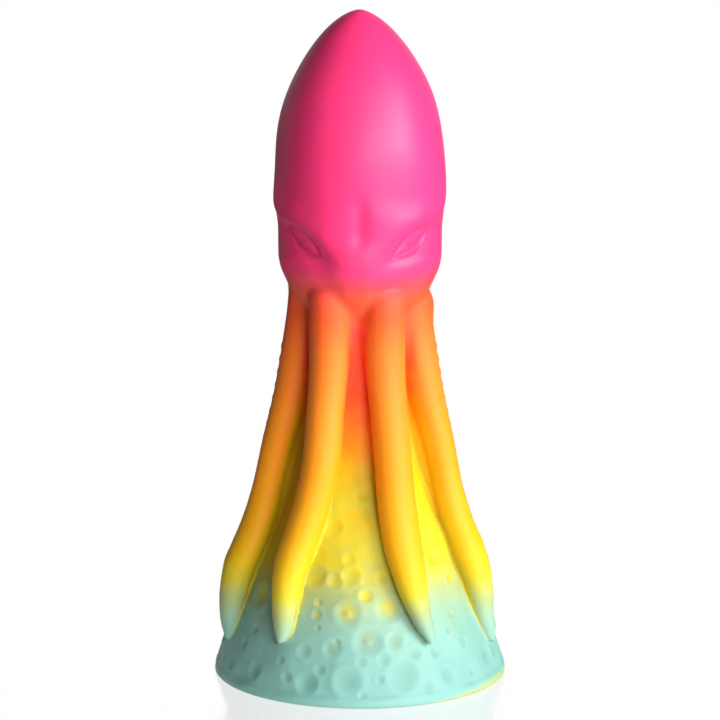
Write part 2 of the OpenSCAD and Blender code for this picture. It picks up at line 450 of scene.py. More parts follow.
@dataclass
class Mound:
    """The rock with its craters, the trunk above it and the suction base under it."""

    size: Frame
    dish_h: float = 1.8
    rim_w: float = 4.0
    flank: Curve = Curve(((0.0, 45.5), (1.6, 45.25), (4.0, 44.4), (9.0, 42.8), (14.0, 41.0), (26.0, 36.0),
                          (42.0, 29.3), (56.0, 22.8), (66.0, 18.6), (76.0, 15.8), (88.0, 14.9), (100.0, 15.1),
                          (110.0, 16.4), (120.0, 18.0)))
    back_seed: int = 7
    back_tries: int = 900

    @cached_property
    def craters(self) -> list[tuple[Crater, Array]]:
        """Places the craters in front, and scatters ones of the same sizes round the back.

        Returns:
            Each crater and its middle on the flank.
        """
        draw = np.random.default_rng(self.back_seed)
        placed = list(FRONT_CRATERS)
        spots = [self.spot(c.angle, c.z) for c in placed]
        for _ in range(self.back_tries):
            angle, z = draw.uniform(72.0, 288.0), 4.5 + 42.0 * draw.uniform(0.0, 1.0) ** 1.4
            size = draw.choice((1.2, 1.6, 2.1, 2.7, 3.5), p=(0.28, 0.26, 0.22, 0.14, 0.1))
            here = self.spot(angle, z)
            if all(np.linalg.norm(here - spot) > 1.25 * (size + c.radius) for c, spot in zip(placed, spots)):
                placed.append(Crater(angle, z, size, draw.uniform(0.2, 0.32), draw.choice((0.0, 0.0, 0.08))))
                spots.append(here)
        return list(zip(placed, spots))

    def spot(self, angle: float, z: float) -> Array:
        """The point of the flank at an angle from the front and a height.

        Args:
            angle: Angle in degrees.
            z: Height in millimetres.

        Returns:
            The point.
        """
        radius = float(self.flank(np.array([z]))[0])
        turn = math.radians(angle)
        return np.array([radius * math.sin(turn), -radius * math.cos(turn), z])

    def distance(self, at: Points) -> Array:
        """Distance to the smooth mound, hollow under its middle.

        Args:
            at: The points.

        Returns:
            Distances, negative inside.
        """
        radius, slope = self.flank.both(at.z)
        flank = (at.rho - radius) / np.sqrt(1.0 + slope * slope)
        inner = self.size.base_r - self.rim_w - 1.0
        floor = self.dish_h * smooth(1.15 * (1.0 - at.rho / inner))
        flank = blend_cut(flank, floor - at.z, 0.7)
        return blend_cut(flank, at.z - (self.size.neck_z + 2.0), 1.0)

    def relief(self, at: Points) -> tuple[Array, Array]:
        """The rock's pits and lumps.

        Args:
            at: The points.

        Returns:
            Height above the smooth mound, and how deep a point lies in a pit, from 0 to 1.
        """
        height, pit = np.zeros(len(at.z)), np.zeros(len(at.z))
        near = np.flatnonzero((at.z > 1.2) & (at.z < self.size.peak_z))
        near = near[np.argsort(at.z[near])]
        xyz = at.xyz[near]
        raised = 0.22 * waves(xyz, 12.0, 3, 6) + 0.035 * waves(xyz, 5.0, 4, 6)
        sunk = np.zeros(len(near))
        for crater, middle in self.craters:
            reach = 1.9 * crater.radius
            first, last = np.searchsorted(xyz[:, 2], (crater.z - reach, crater.z + reach))
            away = np.linalg.norm(xyz[first:last] - middle, axis=1)
            touched = np.flatnonzero(away < reach)
            away = away[touched]
            touched += first
            raised[touched] += crater.relief(away)
            sunk[touched] = np.maximum(sunk[touched], step(away / crater.radius, 1.25, 0.25))
        fade = step(xyz[:, 2], 1.2, 3.2) * step(xyz[:, 2], self.size.peak_z, self.size.peak_z - 8.0)
        height[near], pit[near] = raised * fade, sunk * fade
        return height, pit


# ---------------------------------------------------------------- arms

# An arm's outer radius by distance below the neck, and half its width by share of its length.
ARM_OUTER = Curve(((-6.0, 21.4), (0.0, 21.8), (12.3, 23.4), (27.4, 25.9), (42.5, 29.2), (57.8, 32.4),
                   (69.3, 35.9), (77.0, 39.0), (81.0, 40.5), (85.0, 41.4), (92.5, 42.5), (100.2, 42.9),
                   (105.0, 42.6)))
ARM_HALF = Curve(((0.0, 6.6), (0.13, 6.35), (0.34, 5.75), (0.5, 5.75), (0.64, 5.95), (0.73, 5.85),
                  (0.81, 5.0), (0.87, 4.3), (0.94, 3.3), (1.0, 2.4)))


@dataclass
class Arm:
    """One arm, from under the head down over the rock.

    Angle gives degrees from the front by distance below the neck, and spread gives extra radius by
    height. Keel is the web's half width and waist the narrowing halfway down, as shares of the arm.
    """

    name: str
    angle: Curve
    size: Frame
    root_bulge: float = 0.0
    slim: float = 1.0
    tip_scale: float = 1.0
    start_up: float = 1.8
    shoulder: float = 5.0
    round_tip: float = 5.0
    keel: float = 0.36
    waist: float = 0.0
    spread: Curve = Curve(((0.0, 0.0), (200.0, 0.0)))

    @cached_property
    def tip_z(self) -> float:
        """Height of the tip, in millimetres."""
        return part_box(self.name)[0].z / MM - 1.2

    @cached_property
    def length(self) -> float:
        """Height from the neck down to the tip."""
        return self.size.neck_z - self.tip_z

    def section(self, z: Array) -> tuple[Array, Array, Array]:
        """The arm's section at a height.

        Args:
            z: Heights in millimetres.

        Returns:
            Middle angle in radians, the spine's radius and half the arm's width.
        """
        down = self.size.neck_z - z
        share = np.clip(down / self.length, 0.0, 1.0)
        left = np.clip((self.length - down) / self.round_tip, 0.0, 1.0)
        half = ARM_HALF(share) * np.sqrt(1.0 - (1.0 - left) ** 2 + 1e-6)
        half *= self.slim + (1.0 - self.slim) * step(share, 0.0, 0.5)
        half *= 1.0 + (self.tip_scale - 1.0) * step(share, 0.8, 1.0)
        half *= 1.0 - self.waist * bell(z - 62.0, 20.0)
        outer = ARM_OUTER(down) + self.spread(z) + self.root_bulge * step(down, 22.0, -4.0)
        return np.radians(self.angle(down)), outer - half, half

    def distance(self, at: Points, webbed: bool = True) -> Array:
        """Distance to the arm.

        Args:
            at: The points.
            webbed: Whether the web that holds the arm on the trunk and rock counts too.

        Returns:
            Distances, negative inside.
        """
        z = np.clip(at.z, self.tip_z, self.size.neck_z + self.start_up)
        middle, spine, half = self.section(z)
        later, further, _ = self.section(z - 0.5)
        lean = np.hypot((further - spine) / 0.5, spine * (later - middle) / 0.5)
        across = at.rho * np.sin(at.turn - middle)
        out = at.rho * np.cos(at.turn - middle) - spine
        flat = np.hypot(across, out) - half
        if webbed:
            flat = blend_union(flat, np.maximum(np.abs(across) - self.keel * half, out), 1.2)
        flat = np.maximum(flat, 5.0 - (out + spine)) / np.sqrt(1.0 + lean * lean)
        above, below = np.maximum(at.z - z, 0.0), np.maximum(z - at.z, 0.0)
        rounded = np.hypot(np.maximum(flat + self.shoulder, 0.0), above) - self.shoulder
        flat = np.where(above > 0.0, rounded, flat)
        return np.where(below > 0.0, np.hypot(np.maximum(flat, 0.0), below), flat)

    def near(self, at: Points) -> Array:
        """Which points may be close enough to the arm to matter.

        Args:
            at: The points.

        Returns:
            Whether each one may be.
        """
        middle, _, _ = self.section(at.z)
        apart = np.abs((at.turn - middle + math.pi) % (2.0 * math.pi) - math.pi)
        return (apart < math.radians(75.0)) & (at.z < self.size.neck_z + 16.0)


def steady(angle: float, end: float) -> Curve:
    """An angle that drifts evenly from the root to the tip."""
    return Curve(((0.0, angle), (105.0, end)))


def make_arms(size: Frame) -> list[Arm]:
    """The eight arms, two by two from the front to the back.

    Args:
        size: The frame's sizes.

    Returns:
        The arms.
    """
    front_left = Curve(((0.0, -31.5), (25.0, -30.3), (45.0, -29.0), (55.0, -31.0), (67.0, -35.2),
                        (76.0, -37.7), (86.0, -37.1), (99.0, -35.3)))
    front_right = Curve(((0.0, 26.3), (13.0, 24.5), (58.0, 24.4), (81.0, 25.3), (88.0, 26.6), (99.0, 31.0)))
    side_left = Curve(((0.0, -83.0), (45.0, -80.5), (60.0, -80.5), (80.0, -77.0), (105.0, -76.0)))
    side_right = Curve(((0.0, 80.5), (40.0, 78.5), (60.0, 77.0), (80.0, 73.5), (105.0, 73.8)))
    wide_left = Curve(((13.0, 0.7), (20.0, 1.8), (28.0, 2.3), (36.0, 2.4), (43.0, 1.9), (55.0, 1.2),
                       (66.0, 1.1), (90.0, 0.6), (112.0, 0.4)))
    wide_right = Curve(((12.0, 0.9), (16.5, 0.8), (20.5, 0.1), (28.0, 0.6), (36.0, 0.9), (43.0, 1.1),
                        (50.0, 0.4), (60.0, 0.0)))
    slim = 0.82
    return [
        Arm("arm_front_left", front_left, size, root_bulge=2.1),
        Arm("arm_front_right", front_right, size, root_bulge=2.1, tip_scale=0.85),
        Arm("arm_side_left", side_left, size, spread=wide_left, waist=0.16),
        Arm("arm_side_right", side_right, size, spread=wide_right, waist=0.18, start_up=-0.5),
        Arm("arm_rear_left", steady(-123.0, -120.0), size, root_bulge=1.0, slim=slim),
        Arm("arm_rear_right", steady(113.0, 118.0), size, root_bulge=2.8, slim=slim, start_up=-4.0,
            shoulder=9.0),
        Arm("arm_back_left", steady(-162.5, -161.0), size, root_bulge=1.0, slim=slim),
        Arm("arm_back_right", steady(158.5, 158.0), size, root_bulge=1.0, slim=slim),
    ]


# ---------------------------------------------------------------- the casting

# How late the colours run, by height, between the side arms and in front: the red pour reaches
# far down there.
SIDE_LAG = Curve(((20.0, -6.0), (36.0, -6.5), (45.0, -11.0), (55.0, -19.0), (66.0, -28.0), (76.0, -36.0),
                  (82.0, -33.0), (88.0, -14.0), (93.0, 6.0), (100.0, 14.0), (112.0, 8.0), (120.0, 0.0)))
CORE_LAG = Curve(((20.0, -6.0), (36.0, -6.5), (40.0, -9.0), (45.0, -12.5), (50.0, -17.0), (60.0, -27.0),
                  (66.0, -30.0), (70.0, -26.0), (75.0, -10.0), (80.0, 8.0), (86.0, 22.0), (92.0, 25.0),
                  (100.0, 20.0), (112.0, 10.0), (120.0, 0.0)))


@dataclass
class Casting:
    """The whole figure as one body, and its skin parted between the features."""

    size: Frame
    spacing: float = 0.61
    halvings: int = 3
    reddest: float = 122.5
    wall: float = 1.0
    arm_blend: float = 1.0
    hood_blend: float = 1.5
    far: float = 60.0

    def __post_init__(self) -> None:
        """Makes the features."""
        self.hood = Hood(self.size)
        self.mound = Mound(self.size)
        self.arms = make_arms(self.size)

    @cached_property
    def names(self) -> list[str]:
        """The pieces' CAD names, in the order of their claims."""
        fixed = ["mantle", "head", "eye_left", "eye_right", "trunk", "rock", "suction_base"]
        return fixed + [arm.name for arm in self.arms]

    def arm_distances(self, at: Points, webbed: bool = True) -> list[Array]:
        """Distance to each arm, far away where a point isn't near it.

        Args:
            at: The points.
            webbed: Whether the arms' webs count too.

        Returns:
            Distances for each arm, negative inside.
        """
        result = []
        for arm in self.arms:
            value = np.full(len(at.z), self.far)
            near = np.flatnonzero(arm.near(at))
            value[near] = arm.distance(Points(at.xyz[near]), webbed)
            result.append(value)
        return result

    def field(self, xyz: Array) -> Array:
        """Signed distance to the whole casting.

        Args:
            xyz: Points in millimetres.

        Returns:
            Distances, negative inside.
        """
        at = Points(xyz)
        body = self.mound.distance(at) - self.mound.relief(at)[0]
        arms = np.full(len(xyz), self.far)
        for value in self.arm_distances(at):
            arms = blend_union(arms, value, self.arm_blend)
        fillet = 0.8 + 2.2 * step(at.z, 78.0, 113.0)
        whole = blend_union(body, arms, fillet)
        high = np.flatnonzero(at.z > self.size.neck_z - 14.0)
        top = Points(xyz[high])
        hood = self.hood.distance(top) - self.hood.relief(top)
        whole[high] = blend_union(whole[high], hood, self.hood_blend)
        return whole

    def gradient(self, xyz: Array, reach: float = 0.06) -> Array:
        """Slope of the field, from its values at the corners of a small tetrahedron."""
        ways = np.array(((1, -1, -1), (-1, -1, 1), (-1, 1, -1), (1, 1, 1)), float)
        return sum(self.field(xyz + reach * way)[:, None] * way for way in ways) / (4.0 * reach)

    def claims(self, xyz: Array) -> Array:
        """How strongly each piece claims each point: the lowest value wins.

        Args:
            xyz: Points in millimetres.

        Returns:
            One row for each name in names.
        """
        at = Points(xyz)
        hood = self.hood.distance(at) - self.hood.relief(at)
        mound = self.mound.distance(at)
        below_brow = self.hood.brow_edge(at)
        u, up = self.hood.skin(at)
        head = hood + np.maximum(-below_brow, 0.0)
        eyes = [head + self.hood.eye.outline(side * u, up)[0] - 0.2 for side in (-1.0, 1.0)]
        peak = at.z - self.size.peak_z
        foot = at.z - self.size.cup_h
        return np.stack(
            [hood + np.maximum(below_brow, 0.0), head, *eyes,
             mound + np.maximum(-peak, 0.0), mound + np.maximum(peak, 0.0) + np.maximum(-foot, 0.0),
             mound + np.maximum(foot, 0.0), *self.arm_distances(at, False)]
        )

    def surface(self) -> tuple[Array, Array]:
        """Meshes the skin and moves its points exactly onto it.

        The field is sampled on a coarse grid first, and then on ever finer ones near the skin.

        Returns:
            Corners in millimetres, and faces of four corners each.
        """
        reach = self.size.base_r + 2.0
        low = np.array([-reach, -reach, -2.0])
        gap = self.spacing * 2**self.halvings
        count = np.ceil((np.array([reach, reach, self.size.top_z + 2.0]) - low) / gap).astype(int) + 1
        cells = np.stack(np.meshgrid(*[np.arange(n) for n in count], indexing="ij"), axis=-1).reshape(-1, 3)
        split = np.stack(np.meshgrid(*[np.arange(2)] * 3, indexing="ij"), axis=-1).reshape(-1, 3)
        dense = self.field(low + (cells + 0.5) * gap).reshape(count)
        for _ in range(self.halvings):
            close = np.argwhere(np.abs(dense) < 1.37 * gap)
            dense = np.sign(dense) * gap
            dense = np.repeat(np.repeat(np.repeat(dense, 2, 0), 2, 1), 2, 2)
            cells = (close[:, None, :] * 2 + split[None]).reshape(-1, 3)
            gap *= 0.5
            dense[tuple(cells.T)] = self.field(low + (cells + 0.5) * gap)
            LOG.info("sampled %d points %.2f mm apart", len(cells), gap)
        grid = openvdb.FloatGrid(3.0)
        grid.copyFromArray(np.ascontiguousarray(dense, dtype=np.float32))
        corners, faces = grid.convertToQuads(isovalue=0.0)
        corners = low + (corners.astype(float) + 0.5) * self.spacing
        for _ in range(2):
            slope = self.gradient(corners)
            move = self.field(corners)[:, None] * slope / np.maximum((slope**2).sum(1), 0.2)[:, None]
            corners -= move * np.minimum(1.0, 0.4 / np.maximum(np.linalg.norm(move, axis=1), 1e-9))[:, None]
        return corners, faces.astype(np.int64)

    def settle_borders(self, corners: Array, faces: Array, owner: Array) -> Array:
        """Slides the corners between two pieces along the skin, onto the line where the two meet.

        Args:
            corners: Corners in millimetres.
            faces: Faces of four corners.
            owner: Index of the piece that each face belongs to.

        Returns:
            The corners, moved.
        """
        lowest, highest = np.full(len(corners), 999), np.full(len(corners), -1)
        for k in range(4):
            np.minimum.at(lowest, faces[:, k], owner)
            np.maximum.at(highest, faces[:, k], owner)
        border = np.flatnonzero((lowest < highest) & (highest >= 0))
        one, other = lowest[border], highest[border]
        pick = np.arange(len(border))

        def lead(points: Array) -> Array:
            """How much further one piece is than the other."""
            c = self.claims(points)
            return c[one, pick] - c[other, pick]

        place = corners[border].copy()
        start = place.copy()
        for _ in range(4):
            f, g = self.field(place), lead(place)
            df = self.gradient(place)
            dg = np.stack([(lead(place + e) - g) / 0.05 for e in np.eye(3) * 0.05], axis=1)
            ff, gg, fg = (df * df).sum(1), (dg * dg).sum(1), (df * dg).sum(1)
            det = np.maximum(ff * gg - fg * fg, 0.05)
            a, b = (gg * f - fg * g) / det, (ff * g - fg * f) / det
            place -= np.clip(a[:, None] * df + b[:, None] * dg, -0.3, 0.3)
        moved = np.linalg.norm(place - start, axis=1)
        kept = moved < 1.6 * self.spacing
        corners[border[kept]] = place[kept]
        return corners

    def lag(self, xyz: Array) -> Array:
        """How many millimetres the pours' colours run late, or early, at a point.

        The colours of the upper pours run down into deep creases and pits, and the arms keep
        their colours lower down than the rock does. The aqua pour reaches higher on the front right
        arm, and a thin yellow line has run under the foot's right edge.

        Args:
            xyz: Points in millimetres.

        Returns:
            How late each point is.
        """
        at = Points(xyz)
        pit = self.mound.relief(at)[1]
        mound = self.mound.distance(at)
        arms = np.min(self.arm_distances(at, False), axis=0)
        depth = ARM_OUTER(self.size.neck_z - at.z) - at.rho
        degrees = np.degrees(at.turn)
        side_gap = step(np.abs(degrees), 26.0, 40.0)
        on_arm = step(arms - mound, 0.8, -0.8) * step(arms, 3.0, 0.0)
        on_arm *= 1.0 - smooth((depth - 5.5 + 1.5 * side_gap) / 3.0) * step(at.z, 30.0, 45.0)
        blotched = at.z + 1.3 * waves(xyz, 6.0, 8)
        core, side = CORE_LAG(blotched), SIDE_LAG(blotched)
        between = core + (side - core) * side_gap + 7.0 * pit * step(at.z, 8.0, 18.0) * step(at.z, 38.0, 31.0)
        crease = 14.0 * step(depth, 2.6, 6.6) * step(at.z, 72.0, 84.0) * step(at.z, 122.0, 114.0)
        crease -= 4.5 * bell(degrees - 38.0, 16.0) * step(at.z, 40.0, 30.0)
        seam = 12.0 * bell(mound - arms, 0.9) * step(at.z, 36.0, 28.0)
        line_z = 2.4 * bell(degrees - 66.0, 34.0) - 0.1
        spill = smooth((line_z - at.z) / 1.2 + 0.5) * step(at.rho, 43.0, 44.0) * step(line_z, 0.0, 0.8)
        late = on_arm * crease + (1.0 - on_arm) * between + seam + 30.0 * spill
        return np.minimum(late, np.maximum(0.0, self.reddest - at.z))

    def pit_shade(self, xyz: Array) -> Array:
        """How deep a point lies in one of the rock's pits, from 0 to 1, low on the rock; the colour uses it
        as painted shade that darkens the pits.
        """
        return self.mound.relief(Points(xyz))[1] * step(xyz[:, 2], 30.0, 20.0)


# ---------------------------------------------------------------- finishes


def srgb(red: int, green: int, blue: int) -> tuple[float, float, float, float]:
    """A linear colour from its eight-bit values."""
    linear = [((c / 255 + 0.055) / 1.055) ** 2.4 if c > 10 else c / 255 / 12.92 for c in (red, green, blue)]
    return (*linear, 1.0)


@dataclass(frozen=True)
class Stop:
    """One colour of the casting and the height at which it is pure, in millimetres."""

    z: float
    colour: tuple[float, float, float, float]


POURS = tuple(Stop(z, srgb(*colour)) for z, *colour in (
    (4.0, 114, 162, 152), (13.0, 121, 166, 152), (19.5, 132, 166, 142), (25.5, 154, 167, 106),
    (31.5, 190, 176, 38), (37.5, 216, 172, 8), (50.0, 230, 158, 6), (66.0, 236, 144, 10),
    (84.0, 238, 132, 22), (104.0, 238, 112, 32), (115.0, 236, 86, 34), (121.0, 236, 80, 50),
    (125.0, 236, 66, 76), (129.5, 236, 55, 108), (140.0, 237, 52, 113),
))


class Socket(Enum):
    """Kinds of sockets on a node group."""

    VALUE = "NodeSocketFloat"
    COLOUR = "NodeSocketColor"
    NORMAL = "NodeSocketVector"
    COUNT = "NodeSocketInt"
    SHAPE = "NodeSocketGeometry"
    MATERIAL = "NodeSocketMaterial"


class Wiring:
    """Adds nodes to a tree and links them."""

    def __init__(self, tree: bpy.types.NodeTree) -> None:
        """Starts on a tree."""
        self.tree = tree

    def add(self, kind: str, inputs: dict[int | str, object] | None = None,
            **settings: object) -> bpy.types.Node:
        """Adds one node.

        Args:
            kind: The node's type.
            inputs: Values or sockets for its inputs, by name or number.
            settings: The node's own properties.

        Returns:
            The node.
        """
        node = self.tree.nodes.new(kind)
        for name, value in settings.items():
            setattr(node, name, value)
        for key, value in (inputs or {}).items():
            if isinstance(value, bpy.types.NodeSocket):
                self.tree.links.new(value, node.inputs[key])
            else:
                node.inputs[key].default_value = value
        return node

    def maths(self, operation: str, *values: object) -> bpy.types.NodeSocket:
        """Adds a maths node on values or sockets, and gives its result."""
        return self.add("ShaderNodeMath", dict(enumerate(values)), operation=operation).outputs[0]

    def remap(self, inputs: dict[str, object], kind: str = "LINEAR") -> bpy.types.NodeSocket:
        """Adds a node that maps one range to another, and gives its result."""
        return self.add("ShaderNodeMapRange", inputs, interpolation_type=kind).outputs["Result"]

    def link(self, source: bpy.types.NodeSocket, target: bpy.types.NodeSocket) -> None:
        """Links two sockets."""
        self.tree.links.new(source, target)


def bare_tree(owner: bpy.types.Material | bpy.types.World) -> Wiring:
    """Empties a material's or a world's node tree, and starts wiring it.

    Args:
        owner: The material or world.

    Returns:
        A wiring for its tree.
    """
    owner.use_nodes = True
    owner.node_tree.nodes.clear()
    return Wiring(owner.node_tree)


def add_object(name: str, data: bpy.types.ID) -> bpy.types.Object:
    """Makes an object of some data and puts it in the scene.

    Args:
        name: The object's name.
        data: What it shows.

    Returns:
        The object.
    """
    made = bpy.data.objects.new(name, data)
    bpy.context.scene.collection.objects.link(made)
    return made


def open_group(
    name: str, inputs: dict[str, tuple[Socket, object]], outputs: dict[str, Socket],
    kind: str = "ShaderNodeTree",
) -> tuple[bpy.types.NodeTree, Wiring, bpy.types.Node, bpy.types.Node]:
    """Makes an empty node group with named sockets.

    Args:
        name: The group's name.
        inputs: Each input's kind and default value.
        outputs: Each output's kind.
        kind: The tree's type.

    Returns:
        The tree, a wiring for it, its input node and its output node.
    """
    tree = bpy.data.node_groups.new(name, kind)
    for label, (socket, value) in inputs.items():
        made = tree.interface.new_socket(label, in_out="INPUT", socket_type=socket.value)
        if value is not None:
            made.default_value = value
    for label, socket in outputs.items():
        tree.interface.new_socket(label, in_out="OUTPUT", socket_type=socket.value)
    wiring = Wiring(tree)
    return tree, wiring, wiring.add("NodeGroupInput"), wiring.add("NodeGroupOutput")


class PourColours:
    """Node group: the colour of the casting at a height, where one pour runs into the next, darkened by
    painted shade where Shade is set.
    """

    low, high = 0.0, 150.0

    @classmethod
    def build(cls) -> bpy.types.NodeTree:
        """Makes the group.

        Returns:
            The node tree.
        """
        tree, w, given, result = open_group(
            "pour_colours",
            {"Height": (Socket.VALUE, 0.0), "Wander": (Socket.VALUE, 4.0),
             "Wander size": (Socket.VALUE, 60.0), "Shade": (Socket.VALUE, 0.0),
             "Shade depth": (Socket.VALUE, 0.12)},
            {"Colour": Socket.COLOUR},
        )
        place = w.add("ShaderNodeTexCoord")
        cloud = w.add("ShaderNodeTexNoise", {
            "Vector": place.outputs["Object"], "Scale": given.outputs["Wander size"], "Detail": 2.0,
        })
        centred = w.maths("SUBTRACT", cloud.outputs["Fac"], 0.5)
        shift = w.maths("MULTIPLY_ADD", centred, given.outputs["Wander"], given.outputs["Height"])
        share = w.remap({"Value": shift, "From Min": cls.low, "From Max": cls.high})
        ramp = w.add("ShaderNodeValToRGB", {"Fac": share})
        stops = ramp.color_ramp.elements
        while len(stops) < len(POURS):
            stops.new(1.0)
        for element, stop in zip(stops, POURS):
            element.position = (stop.z - cls.low) / (cls.high - cls.low)
            element.color = stop.colour
        # Painted shade: Shade times Shade depth darkens the colour; it is fed with the depth of the rock's
        # pits.
        dark = w.maths("MULTIPLY", given.outputs["Shade"], given.outputs["Shade depth"])
        shaded = w.add("ShaderNodeVectorMath", {0: ramp.outputs["Color"]}, operation="SCALE")
        w.link(w.maths("SUBTRACT", 1.0, dark), shaded.inputs["Scale"])
        w.link(shaded.outputs[0], result.inputs["Colour"])
        return tree


class SiliconeGrain:
    """Node group: the faint grain and the uneven sheen of cured silicone."""

    @staticmethod
    def build() -> bpy.types.NodeTree:
        """Makes the group.

        Returns:
            The node tree.
        """
        tree, w, given, result = open_group(
            "silicone_grain",
            {"Grain size": (Socket.VALUE, 2600.0), "Grain depth": (Socket.VALUE, 0.05),
             "Gloss": (Socket.VALUE, 0.45), "Gloss change": (Socket.VALUE, 0.08)},
            {"Roughness": Socket.VALUE, "Normal": Socket.NORMAL},
        )
        place = w.add("ShaderNodeTexCoord")
        fine = w.add("ShaderNodeTexNoise", {
            "Vector": place.outputs["Object"], "Scale": given.outputs["Grain size"], "Detail": 3.0,
        })
        bump = w.add("ShaderNodeBump", {
            "Height": fine.outputs["Fac"], "Strength": given.outputs["Grain depth"], "Distance": 0.1 * MM,
        })
        patch = w.add("ShaderNodeTexNoise", {"Vector": place.outputs["Object"], "Scale": 90.0, "Detail": 4.0})
        centred = w.maths("SUBTRACT", patch.outputs["Fac"], 0.5)
        rough = w.maths("MULTIPLY_ADD", centred, given.outputs["Gloss change"], given.outputs["Gloss"])
        w.link(rough, result.inputs["Roughness"])
        w.link(bump.outputs["Normal"], result.inputs["Normal"])
        return tree


@dataclass(frozen=True)
class Silicone:
    """Finish: matte silicone whose colour changes with height, with painted shade darkening the rock's pits.
    """

    name: str
    gloss: float
    wander: float = 4.0
    specular: float = 0.38
    softness: float = 0.4

    def material(self, colours: bpy.types.NodeTree, grain: bpy.types.NodeTree) -> bpy.types.Material:
        """Makes the material.

        Args:
            colours: The group that gives the pours' colours.
            grain: The group that gives grain and sheen.

        Returns:
            The material.
        """
        made = bpy.data.materials.new(self.name)
        w = bare_tree(made)
        place = w.add("ShaderNodeTexCoord")
        split = w.add("ShaderNodeSeparateXYZ", {0: place.outputs["Object"]})
        late = w.add("ShaderNodeAttribute", attribute_name="pour_lag")
        height = w.maths("MULTIPLY_ADD", split.outputs["Z"], 1.0 / MM, late.outputs["Fac"])
        colour = w.add("ShaderNodeGroup", node_tree=colours)
        w.link(height, colour.inputs["Height"])
        colour.inputs["Wander"].default_value = self.wander
        # Painted shade: the depth of the rock's pits darkens the colour through the group's Shade input.
        deep = w.add("ShaderNodeAttribute", attribute_name="pit_shade")
        w.link(deep.outputs["Fac"], colour.inputs["Shade"])
        skin = w.add("ShaderNodeGroup", node_tree=grain)
        skin.inputs["Gloss"].default_value = self.gloss
        shader = w.add("ShaderNodeBsdfPrincipled", {
            "Base Color": colour.outputs["Colour"], "Roughness": skin.outputs["Roughness"],
            "Normal": skin.outputs["Normal"], "Specular IOR Level": self.specular, "IOR": 1.42,
            "Subsurface Weight": self.softness, "Subsurface Radius": (1.0, 0.5, 0.35),
            "Subsurface Scale": 3.0 * MM,
        }, subsurface_method="BURLEY")
        end = w.add("ShaderNodeOutputMaterial")
        w.link(shader.outputs["BSDF"], end.inputs["Surface"])
        return made


class Slot(Enum):
    """The record's material slots."""

    PINK = "pink_pour"
    ORANGE = "orange_pour"
    ARM = "arm_pour"
    AQUA = "aqua_pour"

    @classmethod
    def of(cls, node: str) -> "Slot":
        """The slot of a CAD node.

        Args:
            node: The node's name.

        Returns:
            Its slot.
        """
        if node in ("mantle", "head", "eye_left", "eye_right"):
            return cls.PINK
        if node == "trunk":
            return cls.ORANGE
        return cls.AQUA if node in ("rock", "suction_base") else cls.ARM


# ---------------------------------------------------------------- pieces


def closed_patch(name: str, corners: Array, normals: Array, faces: Array, tints: dict[str, Array],
                 wall: float) -> bpy.types.Object:
    """Makes one piece of the skin as a closed shell.

    Args:
        name: The piece's name.
        corners: Corners of the whole skin, in millimetres.
        normals: The skin's normals at the corners.
        faces: The piece's own faces, as indices of corners.
        tints: Values at each corner that the colours depend on, by attribute name, among them the painted
            shade of the rock's pits.
        wall: The shell's thickness in millimetres.

    Returns:
        The piece, with its normals and its colour attributes.
    """
    used, local = np.unique(faces, return_inverse=True)
    local = local.reshape(faces.shape)
    n = len(used)
    outer, out = corners[used], normals[used]
    points = np.concatenate([outer, outer - wall * out]) * MM
    edges = np.concatenate([local[:, [k, (k + 1) % 4]] for k in range(4)])
    key = edges[:, 0] * n + edges[:, 1]
    back = edges[:, 1] * n + edges[:, 0]
    rim = edges[~np.isin(key, back)]
    side = np.stack([rim[:, 1], rim[:, 0], rim[:, 0] + n, rim[:, 1] + n], axis=1)
    quads = np.concatenate([local, local[:, ::-1] + n, side])
    mesh = bpy.data.meshes.new(name)
    mesh.vertices.add(len(points))
    mesh.vertices.foreach_set("co", points.ravel())
    mesh.loops.add(quads.size)
    mesh.loops.foreach_set("vertex_index", quads.ravel())
    mesh.polygons.add(len(quads))
    mesh.polygons.foreach_set("loop_start", np.arange(len(quads)) * 4)
    mesh.update(calc_edges=True)
    a, b, c = (points[quads[:, k]] for k in (0, 1, 2))
    flat = np.cross(b - a, c - b)
    flat /= np.maximum(np.linalg.norm(flat, axis=1), 1e-15)[:, None]
    loops = np.repeat(flat, 4, axis=0)
    skin = local.size
    loops[:skin] = out[local.ravel()]
    loops[skin:2 * skin] = -out[local[:, ::-1].ravel()]
    mesh.polygons.foreach_set("use_smooth", np.ones(len(quads), bool))
    mesh.normals_split_custom_set(loops)
    for label, value in tints.items():
        layer = mesh.attributes.new(label, "FLOAT", "POINT")
        layer.data.foreach_set("value", np.tile(value[used], 2).astype(np.float32))
    return add_object(name, mesh)


# How far round its arm each row of suckers sits, in degrees from the middle of the arm's outer face.
SUCKER_FLANKS = {"side_left": -25.0, "side_right": 25.0, "rear_left": 0.0, "rear_right": 0.0,
                 "back_left": 0.0, "back_right": 0.0}


